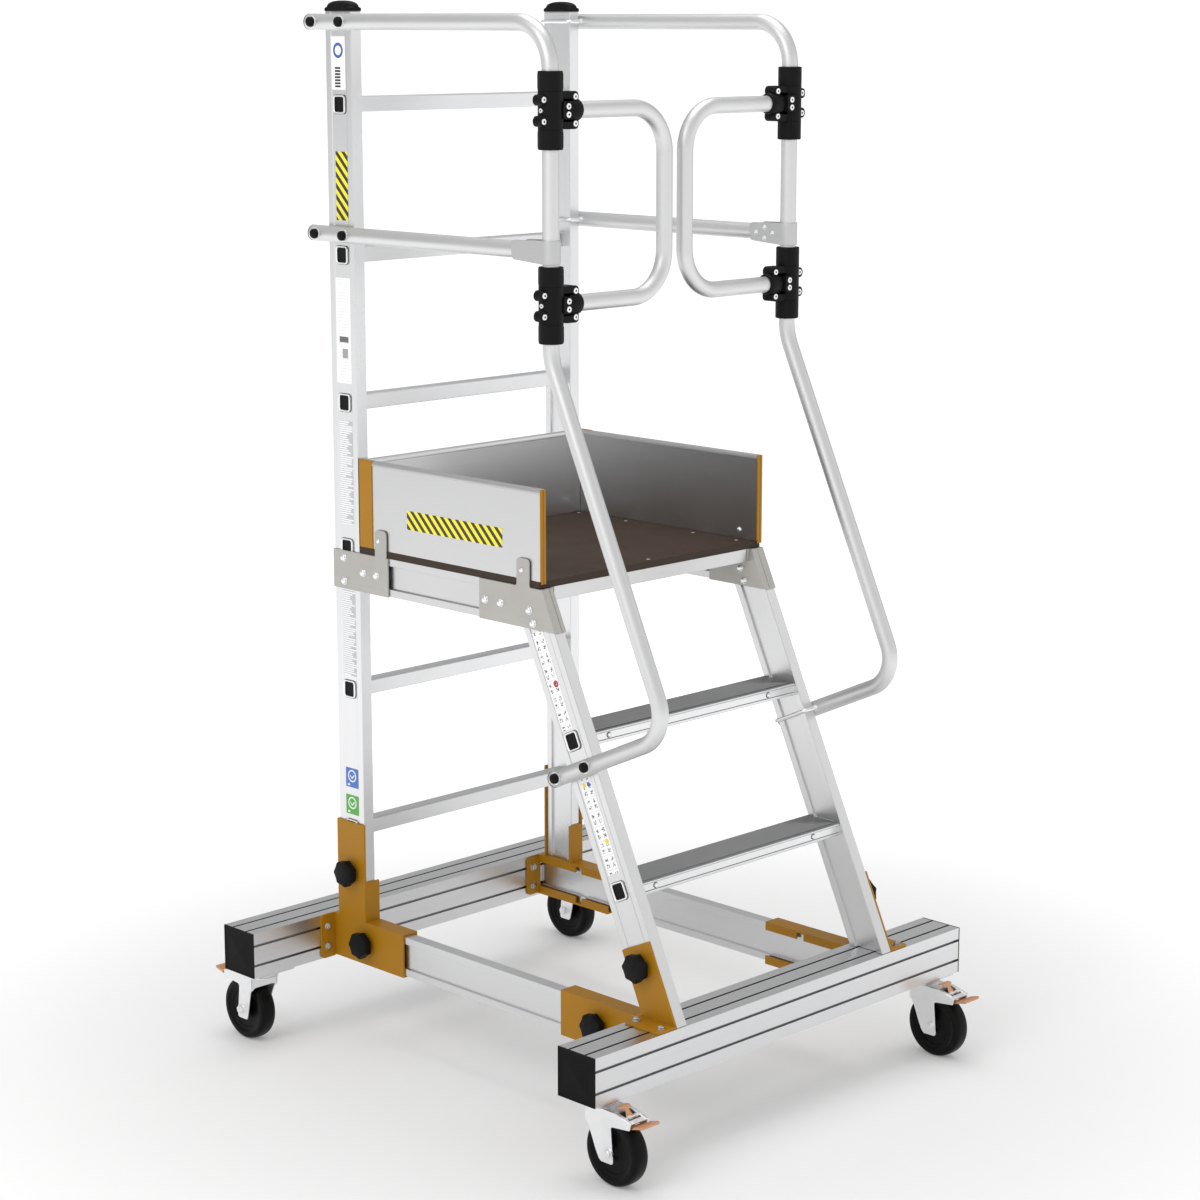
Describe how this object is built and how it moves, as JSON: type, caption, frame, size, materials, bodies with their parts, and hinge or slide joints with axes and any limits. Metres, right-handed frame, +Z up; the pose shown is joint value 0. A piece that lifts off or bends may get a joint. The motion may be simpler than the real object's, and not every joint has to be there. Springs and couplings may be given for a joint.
{
  "type": "mobile platform ladder",
  "caption": "Wheeled aluminium platform ladder with treads, guardrails, toe boards, two swinging gates, a rear ladder frame and braked swivel castors.",
  "frame": {"origin": "centre of the bounding box on the floor", "axes": "+X to the climber's right, +Y from the treads toward the upright rear frame, +Z up"},
  "size_m": [1.007, 1.19, 2.019],
  "materials": {
    "aluminium": "satin extruded",
    "ochre_paint": "semi-gloss paint",
    "corner_steel": "dull rolled sheet",
    "zinc_steel": "bright zinc plate",
    "platform_board": "film-faced plywood",
    "black_plastic": "fine textured",
    "tyre_rubber": "matt",
    "copper_lever": "bronze-coloured paint",
    "label_film": "printed film"
  },
  "bodies": {
    "frame": {"front_beam": "aluminium", "rear_beam": "aluminium", "side_rail_left": "aluminium", "side_rail_right": "aluminium", "rear_stile_left": "aluminium", "rear_stile_right": "aluminium", "stile_cap_left": "black_plastic", "stile_cap_right": "black_plastic", "rung_1": "aluminium", "rung_2": "aluminium", "rung_3": "aluminium", "rung_4": "aluminium", "rung_5": "aluminium", "rung_6": "aluminium", "front_stile_left": "aluminium", "front_stile_right": "aluminium", "tread_lower": "aluminium", "tread_upper": "aluminium", "platform_board": "platform_board", "platform_side_member_left": "aluminium", "platform_side_member_right": "aluminium", "platform_front_member": "aluminium", "platform_rear_member": "aluminium", "toe_board_left": "aluminium", "toe_board_right": "aluminium", "toe_board_rear": "aluminium", "corner_plate_rear_left": "corner_steel", "corner_plate_rear_right": "corner_steel", "corner_plate_front_left": "corner_steel", "corner_plate_front_right": "corner_steel", "rear_bracket_left": "ochre_paint", "rear_bracket_right": "ochre_paint", "front_bracket_left": "ochre_paint", "front_bracket_right": "ochre_paint", "handrail_left": "aluminium", "handrail_right": "aluminium", "knee_rail_left": "aluminium", "knee_rail_right": "aluminium"},
    "gate_left": {"gate_left": "aluminium"},
    "gate_right": {"gate_right": "aluminium"},
    "castor_fork_front_left": {"castor_fork_front_left": "zinc_steel"},
    "castor_wheel_front_left": {"castor_wheel_front_left": "tyre_rubber"},
    "castor_pedal_front_left": {"castor_pedal_front_left": "copper_lever"},
    "castor_fork_front_right": {"castor_fork_front_right": "zinc_steel"},
    "castor_wheel_front_right": {"castor_wheel_front_right": "tyre_rubber"},
    "castor_pedal_front_right": {"castor_pedal_front_right": "copper_lever"},
    "castor_fork_rear_left": {"castor_fork_rear_left": "zinc_steel"},
    "castor_wheel_rear_left": {"castor_wheel_rear_left": "tyre_rubber"},
    "castor_pedal_rear_left": {"castor_pedal_rear_left": "copper_lever"},
    "castor_fork_rear_right": {"castor_fork_rear_right": "zinc_steel"},
    "castor_wheel_rear_right": {"castor_wheel_rear_right": "tyre_rubber"},
    "castor_pedal_rear_right": {"castor_pedal_rear_right": "copper_lever"},
    "knob_rear_stile_left": {"knob_rear_stile_left": "black_plastic"},
    "knob_rear_stile_right": {"knob_rear_stile_right": "black_plastic"},
    "knob_rear_rail_left": {"knob_rear_rail_left": "black_plastic"},
    "knob_rear_rail_right": {"knob_rear_rail_right": "black_plastic"},
    "knob_front_rail_left": {"knob_front_rail_left": "black_plastic"},
    "knob_front_rail_right": {"knob_front_rail_right": "black_plastic"},
    "knob_front_stile_left": {"knob_front_stile_left": "black_plastic"},
    "knob_front_stile_right": {"knob_front_stile_right": "black_plastic"}
  },
  "joints": [
    {"name": "gate_hinge_left", "type": "hinge", "parent": "frame", "child": "gate_left", "pos_m": [-0.3103, -0.215, 1.66375], "axis": [0, 0, 1], "range_deg": [0, 80], "stiffness_Nm_per_rad": 1.2, "springref_deg": -20.05},
    {"name": "gate_hinge_right", "type": "hinge", "parent": "frame", "child": "gate_right", "pos_m": [0.3103, -0.215, 1.66375], "axis": [0, 0, -1], "range_deg": [0, 80], "stiffness_Nm_per_rad": 1.2, "springref_deg": -20.05},
    {"name": "swivel_front_left", "type": "hinge", "parent": "frame", "child": "castor_fork_front_left", "pos_m": [-0.445, -0.47, 0.1456], "axis": [0, 0, 1], "continuous": true},
    {"name": "wheel_spin_front_left", "type": "hinge", "parent": "castor_fork_front_left", "child": "castor_wheel_front_left", "pos_m": [-0.445, -0.513, 0.0625], "axis": [1, 0, 0], "continuous": true},
    {"name": "brake_lever_front_left", "type": "hinge", "parent": "castor_fork_front_left", "child": "castor_pedal_front_left", "pos_m": [-0.445, -0.54, 0.129], "axis": [1, 0, 0], "range_deg": [0, 10]},
    {"name": "swivel_front_right", "type": "hinge", "parent": "frame", "child": "castor_fork_front_right", "pos_m": [0.445, -0.47, 0.1456], "axis": [0, 0, 1], "continuous": true},
    {"name": "wheel_spin_front_right", "type": "hinge", "parent": "castor_fork_front_right", "child": "castor_wheel_front_right", "pos_m": [0.445, -0.513, 0.0625], "axis": [1, 0, 0], "continuous": true},
    {"name": "brake_lever_front_right", "type": "hinge", "parent": "castor_fork_front_right", "child": "castor_pedal_front_right", "pos_m": [0.445, -0.54, 0.129], "axis": [1, 0, 0], "range_deg": [0, 10]},
    {"name": "swivel_rear_left", "type": "hinge", "parent": "frame", "child": "castor_fork_rear_left", "pos_m": [-0.445, 0.47, 0.1456], "axis": [0, 0, 1], "continuous": true},
    {"name": "wheel_spin_rear_left", "type": "hinge", "parent": "castor_fork_rear_left", "child": "castor_wheel_rear_left", "pos_m": [-0.445, 0.513, 0.0625], "axis": [1, 0, 0], "continuous": true},
    {"name": "brake_lever_rear_left", "type": "hinge", "parent": "castor_fork_rear_left", "child": "castor_pedal_rear_left", "pos_m": [-0.445, 0.54, 0.129], "axis": [-1, 0, 0], "range_deg": [0, 10]},
    {"name": "swivel_rear_right", "type": "hinge", "parent": "frame", "child": "castor_fork_rear_right", "pos_m": [0.445, 0.47, 0.1456], "axis": [0, 0, 1], "continuous": true},
    {"name": "wheel_spin_rear_right", "type": "hinge", "parent": "castor_fork_rear_right", "child": "castor_wheel_rear_right", "pos_m": [0.445, 0.513, 0.0625], "axis": [1, 0, 0], "continuous": true},
    {"name": "brake_lever_rear_right", "type": "hinge", "parent": "castor_fork_rear_right", "child": "castor_pedal_rear_right", "pos_m": [0.445, 0.54, 0.129], "axis": [-1, 0, 0], "range_deg": [0, 10]},
    {"name": "knob_rear_stile_left_turn", "type": "hinge", "parent": "frame", "child": "knob_rear_stile_left", "pos_m": [-0.3153, 0.3685, 0.34], "axis": [-1, 0, 0], "continuous": true},
    {"name": "knob_rear_stile_right_turn", "type": "hinge", "parent": "frame", "child": "knob_rear_stile_right", "pos_m": [0.3153, 0.3685, 0.34], "axis": [1, 0, 0], "continuous": true},
    {"name": "knob_rear_rail_left_turn", "type": "hinge", "parent": "frame", "child": "knob_rear_rail_left", "pos_m": [-0.3153, 0.327, 0.202], "axis": [-1, 0, 0], "continuous": true},
    {"name": "knob_rear_rail_right_turn", "type": "hinge", "parent": "frame", "child": "knob_rear_rail_right", "pos_m": [0.3153, 0.327, 0.202], "axis": [1, 0, 0], "continuous": true},
    {"name": "knob_front_rail_left_turn", "type": "hinge", "parent": "frame", "child": "knob_front_rail_left", "pos_m": [-0.3153, -0.32, 0.202], "axis": [-1, 0, 0], "continuous": true},
    {"name": "knob_front_rail_right_turn", "type": "hinge", "parent": "frame", "child": "knob_front_rail_right", "pos_m": [0.3153, -0.32, 0.202], "axis": [1, 0, 0], "continuous": true},
    {"name": "knob_front_stile_left_turn", "type": "hinge", "parent": "frame", "child": "knob_front_stile_left", "pos_m": [-0.3153, -0.42812, 0.34], "axis": [-1, 0, 0], "continuous": true},
    {"name": "knob_front_stile_right_turn", "type": "hinge", "parent": "frame", "child": "knob_front_stile_right", "pos_m": [0.3153, -0.42812, 0.34], "axis": [1, 0, 0], "continuous": true}
  ]
}
